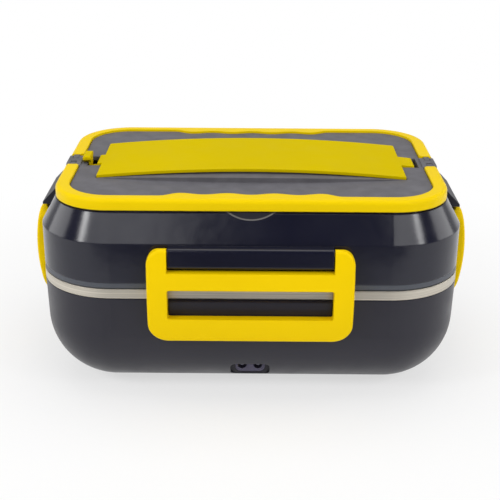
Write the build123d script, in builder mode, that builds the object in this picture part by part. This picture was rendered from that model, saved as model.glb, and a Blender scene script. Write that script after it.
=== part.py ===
"""A portable electric lunch box: heated base, removable steel container, latched lift-off lid with two bail
handles and a cutlery compartment.

Millimetres, +Z up. The origin is the centre of the footprint on the table and the front is -Y.
"""

from build123d import *
import math
import os

# ---- Overall outline ----
body_half_x = 111.5  # half width over the steel rim band
body_half_y = 77.5  # half depth over the steel rim band
corner_radius = 39.5  # plan radius of the body's corners
wall = 2.4  # moulded shell walls
gap = 0.4  # free gap between pieces that move past each other
seat_gap = 0.3  # gap under a piece that rests on a curved or rounded seat
pin_clearance = 0.05  # radial running clearance of every hinge

# ---- Heights ----
foot_height = 1.5
base_top = 59.6  # shoulder of the base under the rim band
rim_height = 5.0  # visible height of the steel rim band
seal_height = 3.4  # visible height of the silicone seal
crease_height = 89.8  # crease between the lid's wall and its shoulder
shoulder_rise = 14.8  # from the crease up to the ledge that the handles lie over
shoulder_inset = 8.15  # how far the shoulder leans in between crease and ledge
ledge_height = crease_height + shoulder_rise
rim_bottom = base_top + seat_gap
rim_top = rim_bottom + rim_height
seal_top = rim_top + seal_height

# ---- Base ----
base_draft = 1.55  # degrees, on the outside of the tub
base_edge_radius = 37.0  # rounding of the tub's lower edge
upstand_inset = 1.1  # step at the tub's top that enters the folded rim
foot_radius = 7.0
foot_sink = 1.0  # depth of the foot's seat in the tub
foot_margin = 16.5  # from the start of the tub's lower rounding to the feet's centres
base_screw_x = 42.0
base_screw_margin = 11.5  # from the start of the same rounding to the screws
screw_shank = 1.4  # radius of the self-tapping screws
screw_head = 2.9  # radius of their heads
screw_head_height = 2.0
boss_radius = 3.6
counterbore_depth = 1.0

# ---- Steel container and the well around it ----
steel = 0.8  # sheet of the container
container_draft = 3.0
container_inset = 7.4  # from the body outline to the container's outside under its flange
container_floor = 21.0
container_edge_radius = 27.0
well_gap = 0.8  # air between container and well
well_wall = 1.6
well_top = 62.0
plate_thickness = 1.5
plate_margin = 9.1  # from the start of the container's lower rounding to the heater plate's edge
plate_air = 0.2  # between heater plate and container

# ---- Heating parts ----
heater_length = 50.0
heater_width = 24.0
heater_height = 6.5
heater_margin = 5.0  # from the plate's ends to the heaters
opening_margin = 1.0  # round the heaters in the well's floor
strap_thickness = 0.8
strap_half_width = 7.0
strap_screw_offset = 3.0  # from the heater plate's end to the strap's screws
strap_end = 6.0  # from the strap's screws to its ends
thermostat_radius = 8.0
thermostat_height = 4.5
thermostat_tab_half = 11.0
fuse_radius = 2.0
fuse_half_length = 7.0
fuse_y = 22.0
fuse_lead_half_length = 15.0
lead_radius = 0.8

# ---- Inlet, low on the front ----
inlet_height = 14.0  # height of the two pins
inlet_half_width = 10.5
inlet_half_height = 5.4
inlet_setback = 16.0  # from the body outline to the socket's face
inlet_depth = 8.5
pin_spacing = 8.6
pin_well_radius = 2.5
inlet_pin_radius = 1.2
pin_well_depth = 6.5
terminal_length = 4.0

# ---- Lid ----
lid_wall = 2.2
seal_lip = 0.7  # height of the seal's set-back lower lip
seal_inset = 0.1
seal_lip_inset = 0.7
seal_width = 3.2
dome_inset = 12.0  # from the body outline to the inner dome's outside
dome_drop = 3.8  # from the crease down to the dome's top
dome_edge_radius = 14.0
liner_wall = 1.8
ledge_opening_end = 4.85  # from the handles' inner edge to the opening in the ledge, at the ends
ledge_opening_side = 8.6  # and along the sides
ledge_opening_radius = 19.0
lid_screw_x = 60.0
lid_screw_y = 26.0
lid_screw_inset = 7.4
boss_bite = 0.5  # how deep the lid's screw bosses run into its sloping shoulder

# ---- Handles ----
handle_thickness = 5.9
handle_arm = 7.5  # width of the arms
handle_bar = 6.75  # width of the long bars between the waves
handle_outer_radius = 30.0
handle_inner_radius = 22.5
wave_half = 47.5  # half length of the waved stretch
hump_outer_x = 36.3
valley_x = 24.3
hump_inner_x = 12.0
hump_depth = 4.4
valley_depth = 2.2
wave_fullness = 0.4  # share of each half wave over which its end stays level
block_half = 9.2  # half length of the hinge block
pivot_y = 6.0
tongue = 3.0  # thickness of the hinge tongue
tongue_root = 1.6  # half height of the tongue's root in the arm
tongue_corner = 1.0
handle_pin_radius = 1.0
handle_edge_round = 2.2
arm_chamfer = 1.4  # at the inner corner of each arm's end
rebate_depth = 0.9  # shadow groove round the ledge, under the handles
rebate_height = 0.7

# ---- Top panel and compartment ----
panel_rise = 5.0  # from the ledge to the top of the panel
panel_thickness = 2.4
skirt = 2.0
saddle_rise = 2.7  # crown of the raised saddle round the compartment
saddle_bow = 6.6  # how far its long sides bow outwards
cover_margin = 12.55  # from the handles' inner edge to the ends of the cover
cover_half_y = 30.3
cover_proud = 1.3  # how far the ends of the cover stand above the panel
cover_crown = 4.1
cover_thickness = 1.6
compartment_end = 4.5  # from the cover's ends to the compartment
compartment_side = 2.7  # and from its long sides
compartment_radius = 6.0
lip_thickness = 1.4
tray_depth = 20.2  # from the panel's top to the underside of the tray
tray_wall = 1.6
tray_flange = 3.2
panel_screw_x = 60.0
panel_screw_inset = 5.0  # from the handles' inner edge

# ---- Cover hinge and snap ----
tab_half = 8.0
tab_left = 2.6
tab_right = 7.3
slot_margin = 0.5
cover_pin_offset = 5.3  # from the end of the cover
cover_pin_drop = 2.2  # below the top of the panel
cover_pin_radius = 1.0
knuckle_radius = 2.2
pin_boss = 4.0
snap_half = 3.5
snap_wall = 1.4
snap_loop = 6.8  # length of the U-shaped spring loop
snap_foot = 0.6  # from the ledge to the underside of the loop
nub_half = 5.9
nub_rise = 4.4  # above the top of the panel
nub_neck = 3.0  # half width of its lower end
nub_reach = 3.0
nub_round = 1.2
hinge_slot_run = 4.6  # from the cover's pin to the end of the slot

# ---- Latches ----
latch_bottom = 37.5
latch_bulge = 8.2  # how far the latch stands off the wall
bulge_drop = 20.5  # from the pivot down to the widest place of the bow
latch_arc = 95.0
ear_radius = 2.5
pivot_drop = 3.3  # from the crease down to the latches' pivots
long_latch_half = 52.6
short_latch_half = 22.0
ear_width = 10.3
crossbar_gap = 1.2  # from the hinge bar down to the crossbar
crossbar_height = 9.1
window_bottom = 51.5
latch_back = 2.2  # back of the bars, clear of the catch lug
latch_corner = 10.5
ear_corner = 8.0
latch_edge_round = 1.5
window_corner = 1.2
stub_radius = 1.2
stub_length = 3.0
lug_depth = 1.6
lug_height = 11.3
lug_drop = 0.3  # from the base's top down to the lug
hinge_bar_drop = 0.6  # from the crease down to the bar's top
hinge_bar_height = 11.0
hinge_bar_depth = 5.6
hinge_bar_round = 2.0
saddle_shortfall = 0.5  # how much shorter than its latch a side saddle is, at each end
saddle_clearance = 2.3  # from the ears' top to the saddle
scoop_radius = 19.0
scoop_height = 3.8
scoop_depth = 1.5

# ---- Worked out from the above ----
well_inset = container_inset - well_gap
well_floor_top = container_floor - plate_air - plate_thickness
well_floor = well_floor_top - 1.8
tub_floor = foot_height + wall
foot_x = body_half_x - base_edge_radius - foot_margin
foot_y = body_half_y - base_edge_radius - foot_margin
base_screw_y = body_half_y - base_edge_radius - base_screw_margin
plate_half_x = body_half_x - container_inset - container_edge_radius - plate_margin
plate_half_y = body_half_y - container_inset - container_edge_radius - plate_margin
strap_screw_x = plate_half_x + strap_screw_offset
strap_half_length = strap_screw_x + strap_end
inlet_face = body_half_y - inlet_setback
heater_x = plate_half_x - heater_length / 2 - heater_margin
lug_top = base_top - lug_drop
lug_bottom = lug_top - lug_height
dome_top = crease_height - dome_drop
shoulder_run = shoulder_rise / shoulder_inset
boss_reach = lid_screw_inset - boss_radius - lid_wall + boss_bite
lid_boss_top = crease_height - lid_wall / 2 + boss_reach * shoulder_run
pivot_height = crease_height - pivot_drop
latch_bulge_height = pivot_height - bulge_drop
hinge_bar_top = crease_height - hinge_bar_drop
hinge_bar_bottom = hinge_bar_top - hinge_bar_height
crossbar_top = hinge_bar_bottom - crossbar_gap
crossbar_bottom = crossbar_top - crossbar_height
handle_bottom = ledge_height + seat_gap
handle_top = handle_bottom + handle_thickness
pivot_z = handle_bottom + handle_thickness / 2
block_top = handle_top - gap
handle_outer_x = body_half_x - shoulder_inset
handle_outer_y = body_half_y - shoulder_inset
handle_inner_x = handle_outer_x - handle_arm
handle_inner_y = handle_outer_y - handle_bar
tongue_radius = handle_thickness / 2 - gap
ledge_opening_x = handle_inner_x - ledge_opening_end
ledge_opening_y = handle_inner_y - ledge_opening_side
panel_top = ledge_height + panel_rise
panel_screw_y = handle_inner_y - panel_screw_inset
cover_half_x = handle_inner_x - cover_margin
cover_end_height = panel_top + cover_proud
compartment_half_x = cover_half_x - compartment_end
compartment_half_y = cover_half_y - compartment_side
tray_floor = panel_top - tray_depth
cover_pin_x = cover_half_x + cover_pin_offset
cover_pin_z = panel_top - cover_pin_drop
hinge_slot_end = cover_pin_x + hinge_slot_run
snap_bottom = ledge_height + snap_foot
nub_top = panel_top + nub_rise
saddle_half = short_latch_half - saddle_shortfall
cover_top_radius = (cover_half_x**2 + cover_crown**2) / (2 * cover_crown)
cover_top = cover_end_height + cover_crown
cover_arc_z = cover_top - cover_top_radius
arc_centre_n = latch_bulge - latch_arc
pivot_n = arc_centre_n + math.sqrt(
    (latch_arc - ear_radius + pin_clearance) ** 2 - (pivot_height - latch_bulge_height) ** 2
)

wall_planes = {
    "front": Plane(origin=(0, -body_half_y, 0), x_dir=(1, 0, 0), z_dir=(0, -1, 0)),
    "rear": Plane(origin=(0, body_half_y, 0), x_dir=(-1, 0, 0), z_dir=(0, 1, 0)),
    "left": Plane(origin=(-body_half_x, 0, 0), x_dir=(0, -1, 0), z_dir=(-1, 0, 0)),
    "right": Plane(origin=(body_half_x, 0, 0), x_dir=(0, 1, 0), z_dir=(1, 0, 0)),
}
latch_halves = {
    "front": long_latch_half,
    "rear": long_latch_half,
    "left": short_latch_half,
    "right": short_latch_half,
}


def bow_at(height):
    """How far a latch's bowed outside stands off the wall at a height."""
    return arc_centre_n + math.sqrt(latch_arc**2 - (latch_bulge_height - height) ** 2)


def side_plane(wall_plane):
    """The plane of a latch's side profile: x points away from the wall, y points up."""
    return Plane(origin=wall_plane.origin, x_dir=wall_plane.z_dir, z_dir=-wall_plane.x_dir)


def outline(inset, mode=Mode.ADD):
    """The body's rounded outline, moved inwards."""
    RectangleRounded(2 * (body_half_x - inset), 2 * (body_half_y - inset), corner_radius - inset, mode=mode)


def slab(inset, bottom, top, mode=Mode.ADD):
    """A plate with the body's outline between two heights."""
    with BuildSketch(Plane.XY.offset(bottom)) as shape:
        outline(inset)
    extrude(shape.sketch, amount=top - bottom, mode=mode)


def band(outer_inset, inner_inset, bottom, top, mode=Mode.ADD):
    """A frame that follows the body's outline."""
    with BuildSketch(Plane.XY.offset(bottom)) as shape:
        outline(outer_inset)
        outline(inner_inset, Mode.SUBTRACT)
    extrude(shape.sketch, amount=top - bottom, mode=mode)


def plate(half_x, half_y, radius, bottom, top, mode=Mode.ADD):
    """A rounded plate between two heights."""
    with BuildSketch(Plane.XY.offset(bottom)) as shape:
        RectangleRounded(2 * half_x, 2 * half_y, radius)
    extrude(shape.sketch, amount=top - bottom, mode=mode)


def block(x_range, y_range, z_range, mode=Mode.ADD):
    """A plain block given by its limits."""
    with BuildSketch(Plane.XY.offset(z_range[0])) as shape:
        with Locations(((x_range[0] + x_range[1]) / 2, (y_range[0] + y_range[1]) / 2)):
            Rectangle(x_range[1] - x_range[0], y_range[1] - y_range[0])
    extrude(shape.sketch, amount=z_range[1] - z_range[0], mode=mode)


def posts(places, radius, bottom, top, mode=Mode.ADD):
    """Round posts or holes standing on given places."""
    with BuildSketch(Plane.XY.offset(bottom)) as shape:
        with Locations(*places):
            Circle(radius)
    extrude(shape.sketch, amount=top - bottom, mode=mode)


def four(x, y):
    """The four places that mirror (x, y)."""
    return [(x, y), (-x, y), (-x, -y), (x, -y)]


def tub(inset, top, bottom, draft, edge_radius):
    """A solid tub: drafted sides down from the top, and a large rounding at the floor."""
    with BuildPart() as form:
        with BuildSketch(Plane.XY.offset(top)):
            outline(inset)
        extrude(amount=top - bottom, dir=(0, 0, -1), taper=draft)
        fillet(form.edges().group_by(Axis.Z)[0], radius=edge_radius)
    return form.part


def shoulder(inset, bottom, top):
    """The lid's sloping shoulder as a solid."""
    with BuildPart() as form:
        with BuildSketch(Plane.XY.offset(bottom)):
            outline(inset)
        slope = math.atan2(shoulder_inset, ledge_height - crease_height)
        extrude(amount=top - bottom, taper=math.degrees(slope))
    return form.part


def under_arc(radius, centre_z, half_x, half_y, bottom):
    """Everything below a crowned surface that runs along Y, down to a level."""
    edge_z = centre_z + math.sqrt(radius**2 - half_x**2)
    with BuildPart() as form:
        with BuildSketch(Plane.XZ):
            with BuildLine():
                Polyline((-half_x, edge_z), (-half_x, bottom), (half_x, bottom), (half_x, edge_z))
                ThreePointArc((half_x, edge_z), (0, centre_z + radius), (-half_x, edge_z))
            make_face()
        extrude(amount=half_y, both=True)
    return form.part


# ---- Cutting forms ----
tub_outside = tub(0, base_top, foot_height, base_draft, base_edge_radius)
tub_inside = tub(wall, base_top, tub_floor, base_draft, base_edge_radius - wall)
well_outside = tub(
    well_inset - well_wall, well_top, well_floor, container_draft, container_edge_radius + well_wall
)
well_inside = tub(well_inset, well_top, well_floor_top, container_draft, container_edge_radius)
container_outside = tub(
    container_inset, rim_top - steel, container_floor, container_draft, container_edge_radius
)
container_inside = tub(
    container_inset + steel,
    rim_top - steel,
    container_floor + steel,
    container_draft,
    container_edge_radius - steel,
)
shoulder_outside = shoulder(0, crease_height, ledge_height)
shoulder_inside = shoulder(lid_wall, crease_height - lid_wall / 2, ledge_height - lid_wall)
with BuildPart() as dome_outside:
    slab(dome_inset, seal_top, dome_top)
    fillet(dome_outside.edges().group_by(Axis.Z)[-1], radius=dome_edge_radius)
with BuildPart() as dome_inside:
    slab(dome_inset + liner_wall, seal_top, dome_top - liner_wall)
    fillet(dome_inside.edges().group_by(Axis.Z)[-1], radius=dome_edge_radius - liner_wall)
cover_reach = cover_half_x + tab_right + gap
below_cover = under_arc(cover_top_radius, cover_arc_z, cover_reach, body_half_y, panel_top - panel_thickness)
below_cover_inside = under_arc(
    cover_top_radius - cover_thickness, cover_arc_z, cover_reach, body_half_y, tray_floor
)
below_cover_seat = under_arc(
    cover_top_radius - cover_thickness - seat_gap, cover_arc_z, cover_reach, body_half_y, tray_floor
)
saddle_end_x = cover_half_x + gap
saddle_arc = (saddle_end_x**2 + saddle_rise**2) / (2 * saddle_rise)
below_saddle = under_arc(
    saddle_arc, panel_top + saddle_rise - saddle_arc, saddle_end_x, body_half_y, panel_top - panel_thickness
)
with BuildPart() as scoops:
    for side in (-1, 1):
        slope = Plane(
            origin=(0, side * handle_outer_y, ledge_height),
            x_dir=(-side, 0, 0),
            z_dir=(0, side * (ledge_height - crease_height), shoulder_inset),
        )
        with BuildSketch(slope):
            with Locations((0, scoop_radius - scoop_height)):
                Circle(scoop_radius)
        extrude(amount=-scoop_depth)


def export(piece, name):
    """Labels a finished piece and writes it."""
    piece.part.label = name
    export_step(piece.part, f"parts/{name}.step")


os.makedirs("parts", exist_ok=True)

# ---- Base ----
base_screw_places = four(base_screw_x, base_screw_y)
screw_seat = foot_height + counterbore_depth + screw_head_height / 2
foot_places = four(foot_x, foot_y)
with BuildPart() as inlet_housing:
    # walls of the inlet's recess, trimmed to the tub's own outside
    with BuildSketch(Plane.XZ.offset(inlet_face - wall)):
        with Locations((0, inlet_height)):
            RectangleRounded(2 * (inlet_half_width + wall), 2 * (inlet_half_height + wall), inlet_half_height)
    extrude(amount=body_half_y - inlet_face)
    add(tub_outside, mode=Mode.INTERSECT)
with BuildPart() as base_shell:
    add(tub_outside)
    add(tub_inside, mode=Mode.SUBTRACT)
    band(upstand_inset, wall, base_top, rim_top - steel)
    for side, wall_plane in wall_planes.items():
        lug_half = latch_halves[side] - ear_width - gap - pin_clearance
        with BuildSketch(side_plane(wall_plane)):
            with BuildLine():
                Polyline(
                    (-wall / 2, lug_bottom + lug_depth / 2),
                    (0, lug_bottom + lug_depth / 2),
                    (lug_depth, lug_bottom),
                    (lug_depth, lug_top - lug_depth / 3),
                    (lug_depth / 2, lug_top),
                    (-wall / 2, lug_top),
                    close=True,
                )
            make_face()
        extrude(amount=lug_half, both=True)
    add(inlet_housing.part)
    with BuildSketch(Plane.XZ.offset(inlet_face)):
        with Locations((0, inlet_height)):
            RectangleRounded(2 * inlet_half_width, 2 * inlet_half_height, inlet_half_height - wall)
    extrude(amount=body_half_y, mode=Mode.SUBTRACT)
    with BuildSketch(Plane.XZ.offset(inlet_face)):
        with Locations((0, inlet_height)):
            RectangleRounded(
                2 * (inlet_half_width - wall), 2 * (inlet_half_height - wall / 2), inlet_half_height - wall
            )
    extrude(amount=-inlet_depth, mode=Mode.SUBTRACT)
    posts(base_screw_places, boss_radius, tub_floor, tub_floor + counterbore_depth)
    posts(foot_places, foot_radius, foot_height, foot_height + foot_sink, Mode.SUBTRACT)
    posts(base_screw_places, screw_head + gap, foot_height, screw_seat, Mode.SUBTRACT)
    posts(base_screw_places, screw_shank + pin_clearance, foot_height, well_floor, Mode.SUBTRACT)
export(base_shell, "base_shell")

with BuildPart() as rubber_feet:
    posts(foot_places, foot_radius - pin_clearance, 0, foot_height + foot_sink)
    chamfer(rubber_feet.edges().group_by(Axis.Z)[0], length=foot_height / 3)
export(rubber_feet, "rubber_feet")

strap_top = well_floor_top - heater_height
strap_places = [(-strap_screw_x, 0), (strap_screw_x, 0)]
well_flange_bottom = well_top - well_wall
with BuildPart() as base_liner:
    add(well_outside)
    band(wall + pin_clearance, well_inset, well_flange_bottom, well_top)
    add(well_inside, mode=Mode.SUBTRACT)
    posts(base_screw_places, boss_radius, tub_floor + counterbore_depth, well_floor + well_wall / 2)
    posts(base_screw_places, screw_shank, tub_floor, well_floor, Mode.SUBTRACT)
    posts(strap_places, boss_radius, strap_top, well_floor + well_wall / 2)
    posts(strap_places, screw_shank, strap_top, well_floor, Mode.SUBTRACT)
    for side in (-1, 1):
        block(
            (
                side * heater_x - heater_length / 2 - opening_margin,
                side * heater_x + heater_length / 2 + opening_margin,
            ),
            (-heater_width / 2 - opening_margin, heater_width / 2 + opening_margin),
            (well_floor, well_floor_top),
            Mode.SUBTRACT,
        )
    posts([(0, 0)], thermostat_radius + opening_margin, well_floor, well_floor_top, Mode.SUBTRACT)
export(base_liner, "base_liner")

with BuildPart() as base_screws:
    posts(base_screw_places, screw_head, screw_seat - screw_head_height, screw_seat)
    posts(base_screw_places, screw_shank - pin_clearance, screw_seat, well_floor - well_wall)
export(base_screws, "base_screws")

with BuildPart() as heater_plate:
    plate(plate_half_x, plate_half_y, plate_half_y / 2, well_floor_top, well_floor_top + plate_thickness)
export(heater_plate, "heater_plate")

with BuildPart() as ptc_heaters:
    for side in (-1, 1):
        block(
            (side * heater_x - heater_length / 2, side * heater_x + heater_length / 2),
            (-heater_width / 2, heater_width / 2),
            (strap_top, well_floor_top),
        )
export(ptc_heaters, "ptc_heaters")

with BuildPart() as heater_clamp:
    strap_bottom = strap_top - strap_thickness
    block(
        (-strap_half_length, strap_half_length),
        (-strap_half_width, strap_half_width),
        (strap_bottom, strap_top),
    )
    fillet(heater_clamp.edges().filter_by(Axis.Z), radius=strap_half_width / 2)
    posts(strap_places, screw_shank + pin_clearance, strap_bottom, strap_top, Mode.SUBTRACT)
export(heater_clamp, "heater_clamp")

with BuildPart() as clamp_screws:
    posts(strap_places, screw_head, strap_bottom - screw_head_height, strap_bottom)
    posts(strap_places, screw_shank - pin_clearance, strap_bottom, well_floor - well_wall / 2)
export(clamp_screws, "clamp_screws")

thermostat_bottom = well_floor_top - thermostat_height
with BuildPart() as thermostat:
    posts([(0, 0)], thermostat_radius, thermostat_bottom, well_floor_top)
    block(
        (-thermostat_tab_half, thermostat_tab_half),
        (-lead_radius * 2, lead_radius * 2),
        (thermostat_bottom, thermostat_bottom + lead_radius),
    )
export(thermostat, "thermostat")

fuse_z = well_floor - fuse_radius
with BuildPart() as thermal_fuse:
    with BuildSketch(Plane.YZ):
        with Locations((fuse_y, fuse_z)):
            Circle(fuse_radius)
    extrude(amount=fuse_half_length, both=True)
    with BuildSketch(Plane.YZ):
        with Locations((fuse_y, fuse_z)):
            Circle(lead_radius)
    extrude(amount=fuse_lead_half_length, both=True)
export(thermal_fuse, "thermal_fuse")

with BuildPart() as power_inlet:
    inlet_face_plane = Plane.XZ.offset(inlet_face)
    with BuildSketch(inlet_face_plane):
        with Locations((0, inlet_height)):
            RectangleRounded(
                2 * (inlet_half_width - wall - pin_clearance),
                2 * (inlet_half_height - wall / 2 - pin_clearance),
                inlet_half_height - wall - pin_clearance,
            )
    extrude(amount=-inlet_depth)
    with BuildSketch(inlet_face_plane):
        with Locations((-pin_spacing / 2, inlet_height), (pin_spacing / 2, inlet_height)):
            Circle(pin_well_radius)
    extrude(amount=-pin_well_depth, mode=Mode.SUBTRACT)
    with BuildSketch(inlet_face_plane):
        with Locations((-pin_spacing / 2, inlet_height), (pin_spacing / 2, inlet_height)):
            Circle(inlet_pin_radius)
    extrude(amount=-inlet_depth, mode=Mode.SUBTRACT)
export(power_inlet, "power_inlet")

with BuildPart() as inlet_pins:
    with BuildSketch(Plane.XZ.offset(inlet_face - 1)):
        with Locations((-pin_spacing / 2, inlet_height), (pin_spacing / 2, inlet_height)):
            Circle(inlet_pin_radius - pin_clearance / 2)
    extrude(amount=-(inlet_depth - 1 + terminal_length))
export(inlet_pins, "inlet_pins")

lead_start = inlet_face - inlet_depth - terminal_length
with BuildPart() as heater_leads:
    for side in (-1, 1):
        start = (side * pin_spacing / 2, -lead_start, inlet_height)
        first_bend = (side * pin_spacing / 2, -lead_start + 8, inlet_height)
        last_bend = (side * heater_x, -heater_width / 2 - 9, inlet_height)
        finish = (side * heater_x, -heater_width / 2, inlet_height)
        with BuildLine() as route:
            FilletPolyline(start, first_bend, last_bend, finish, radius=5)
        with BuildSketch(Plane(origin=start, z_dir=(0, 1, 0))):
            Circle(lead_radius)
        sweep(path=route.line)
export(heater_leads, "heater_leads")

# ---- Steel container ----
with BuildPart() as steel_container:
    add(container_outside)
    add(container_inside, mode=Mode.SUBTRACT)
    band(0, container_inset + steel, rim_top - steel, rim_top)
    band(0, steel, rim_bottom, rim_top - steel)
export(steel_container, "steel_container")

# ---- Lid ----
seal_inner = seal_inset + seal_width
seal_stem_outer = lid_wall + pin_clearance
seal_stem_inner = seal_inner
seal_stem_top = seal_top + liner_wall + seal_lip
with BuildPart() as lid_seal:
    band(seal_inset, seal_inner, rim_top + seal_lip, seal_top)
    band(seal_lip_inset, seal_inner - seal_lip_inset / 2, rim_top, rim_top + seal_lip)
    band(seal_stem_outer, seal_stem_inner, seal_top, seal_stem_top)
export(lid_seal, "lid_seal")

lid_screw_places = four(lid_screw_x, body_half_y - lid_screw_inset)
lid_screw_places += four(body_half_x - lid_screw_inset, lid_screw_y)
ledge_bottom = ledge_height - lid_wall
panel_screw_places = four(panel_screw_x, panel_screw_y)
with BuildPart() as lid_shell:
    slab(0, seal_top, crease_height)
    add(shoulder_outside)
    for side in ("left", "right"):
        # side saddle: a wedge from the ledge down over the latch
        wedge_bottom = pivot_height + ear_radius + saddle_clearance
        with BuildSketch(side_plane(wall_planes[side])):
            with BuildLine():
                Polyline(
                    (-shoulder_inset + gap, ledge_height - gap),
                    (pivot_n, wedge_bottom + wall / 2),
                    (pivot_n, wedge_bottom),
                    (-lid_wall / 2, wedge_bottom),
                    (-shoulder_inset, ledge_height - lid_wall),
                    close=True,
                )
            make_face()
        extrude(amount=saddle_half, both=True)
    slab(lid_wall, seal_top, crease_height - lid_wall / 2, Mode.SUBTRACT)
    add(shoulder_inside, mode=Mode.SUBTRACT)
    plate(ledge_opening_x, ledge_opening_y, ledge_opening_radius, ledge_bottom, ledge_height, Mode.SUBTRACT)
    for side, wall_plane in wall_planes.items():
        bar_half = latch_halves[side] - ear_width - gap
        with BuildSketch(side_plane(wall_plane)):
            with Locations(((hinge_bar_depth - lid_wall / 2) / 2, (hinge_bar_bottom + hinge_bar_top) / 2)):
                bar_profile = Rectangle(hinge_bar_depth + lid_wall / 2, hinge_bar_top - hinge_bar_bottom)
            fillet(bar_profile.vertices().group_by(Axis.X)[-1], radius=hinge_bar_round)
        extrude(amount=bar_half, both=True)
        for end in (-1, 1):
            with BuildSketch(side_plane(wall_plane).offset(end * bar_half)):
                with Locations((pivot_n, pivot_height)):
                    Circle(stub_radius + pin_clearance)
            extrude(amount=-end * (stub_length + gap), mode=Mode.SUBTRACT)
    add(scoops.part, mode=Mode.SUBTRACT)
    band(0, shoulder_inset + rebate_depth, ledge_height - rebate_height, ledge_height, Mode.SUBTRACT)
    posts(lid_screw_places, boss_radius, seal_top + liner_wall, lid_boss_top)
    posts(lid_screw_places, screw_shank, seal_top, lid_boss_top - wall, Mode.SUBTRACT)
    posts(panel_screw_places, screw_shank + pin_clearance, ledge_bottom, ledge_height, Mode.SUBTRACT)
export(lid_shell, "lid_shell")

with BuildPart() as lid_liner:
    slab(seal_inner + pin_clearance, seal_top, seal_top + liner_wall)
    add(dome_outside.part)
    add(dome_inside.part, mode=Mode.SUBTRACT)
    posts(
        lid_screw_places,
        screw_shank + pin_clearance,
        seal_top - seal_lip,
        seal_top + liner_wall,
        Mode.SUBTRACT,
    )
export(lid_liner, "lid_liner")

with BuildPart() as lid_screws:
    posts(lid_screw_places, screw_head, seal_top - screw_head_height, seal_top)
    posts(lid_screw_places, screw_shank - pin_clearance, seal_top, lid_boss_top - 2 * wall)
export(lid_screws, "lid_screws")


def waved_line(side, grow):
    """The waved inner edge of a handle, or the panel's edge inside it."""
    base_y = handle_inner_y - grow
    outwards = (hump_inner_x, valley_x, hump_outer_x, wave_half)
    xs = (*(-x for x in reversed(outwards)), 0, *outwards)
    depths = (0, hump_depth, valley_depth, hump_depth, valley_depth, hump_depth, valley_depth, hump_depth, 0)
    turns = [(x, side * (base_y - depth)) for x, depth in zip(xs, depths)]
    for (start_x, start_y), (end_x, end_y) in zip(turns, turns[1:]):
        reach = (end_x - start_x) * wave_fullness
        Bezier((start_x, start_y), (start_x + reach, start_y), (end_x - reach, end_y), (end_x, end_y))


def corner_arc(corner_x, corner_y, radius, x_sign, y_sign):
    """A quarter arc inside a corner, from its side to its end."""
    centre_x = corner_x - x_sign * radius
    centre_y = corner_y - y_sign * radius
    diagonal = radius * math.sqrt(0.5)
    ThreePointArc(
        (corner_x, centre_y),
        (centre_x + x_sign * diagonal, centre_y + y_sign * diagonal),
        (centre_x, corner_y),
    )


def edge_is_outer(edge, side):
    """True for the edges on the outside of a handle."""
    middle = edge @ 0.5
    past_arm_end = side * middle.Y > block_half + 2 * seat_gap
    on_arc = abs(middle.X) + abs(middle.Y) > handle_outer_x + handle_outer_y - handle_outer_radius * 2 / 3
    on_side = abs(middle.X) > handle_outer_x - gap or abs(middle.Y) > handle_outer_y - gap
    return past_arm_end and (on_side or on_arc)


def tongue_root_at(end, side, mode=Mode.ADD):
    """The part of a hinge tongue that is held in the end of an arm, or its pocket."""
    arm_end = side * (block_half + seat_gap)
    with BuildSketch(Plane.YZ.offset(end * tongue_centre)) as root:
        with Locations((arm_end + side * tongue / 2, pivot_z)):
            Rectangle(tongue, 2 * tongue_root)
    extrude(root.sketch, amount=tongue / 2, both=True, mode=mode)


def handle(side):
    """A C-shaped bail handle: rounded outside, waved grip edge inside, a pocket for a tongue in each arm."""
    arm_end = side * (block_half + seat_gap)
    outer_y = side * handle_outer_y
    inner_y = side * handle_inner_y
    outer_corner = outer_y - side * handle_outer_radius
    inner_corner = inner_y - side * handle_inner_radius
    with BuildPart() as form:
        with BuildSketch(Plane.XY.offset(handle_bottom)):
            with BuildLine():
                for end in (-1, 1):
                    outer_start = end * (handle_outer_x - handle_outer_radius)
                    inner_start = end * (handle_inner_x - handle_inner_radius)
                    Polyline(
                        (end * handle_outer_x, outer_corner),
                        (end * handle_outer_x, arm_end),
                        (end * (handle_inner_x + arm_chamfer), arm_end),
                        (end * handle_inner_x, arm_end + side * arm_chamfer),
                        (end * handle_inner_x, inner_corner),
                    )
                    corner_arc(end * handle_outer_x, outer_y, handle_outer_radius, end, side)
                    corner_arc(end * handle_inner_x, inner_y, handle_inner_radius, end, side)
                    Line((inner_start, inner_y), (end * wave_half, inner_y))
                    Line((outer_start, outer_y), (0, outer_y))
                waved_line(side, 0)
            make_face()
        extrude(amount=handle_thickness)
        top_edges = form.faces().sort_by(Axis.Z)[-1].edges()
        fillet(top_edges.filter_by(lambda edge: edge_is_outer(edge, side)), radius=handle_edge_round)
        for end in (-1, 1):
            tongue_root_at(end, side, Mode.SUBTRACT)
    return form


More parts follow.
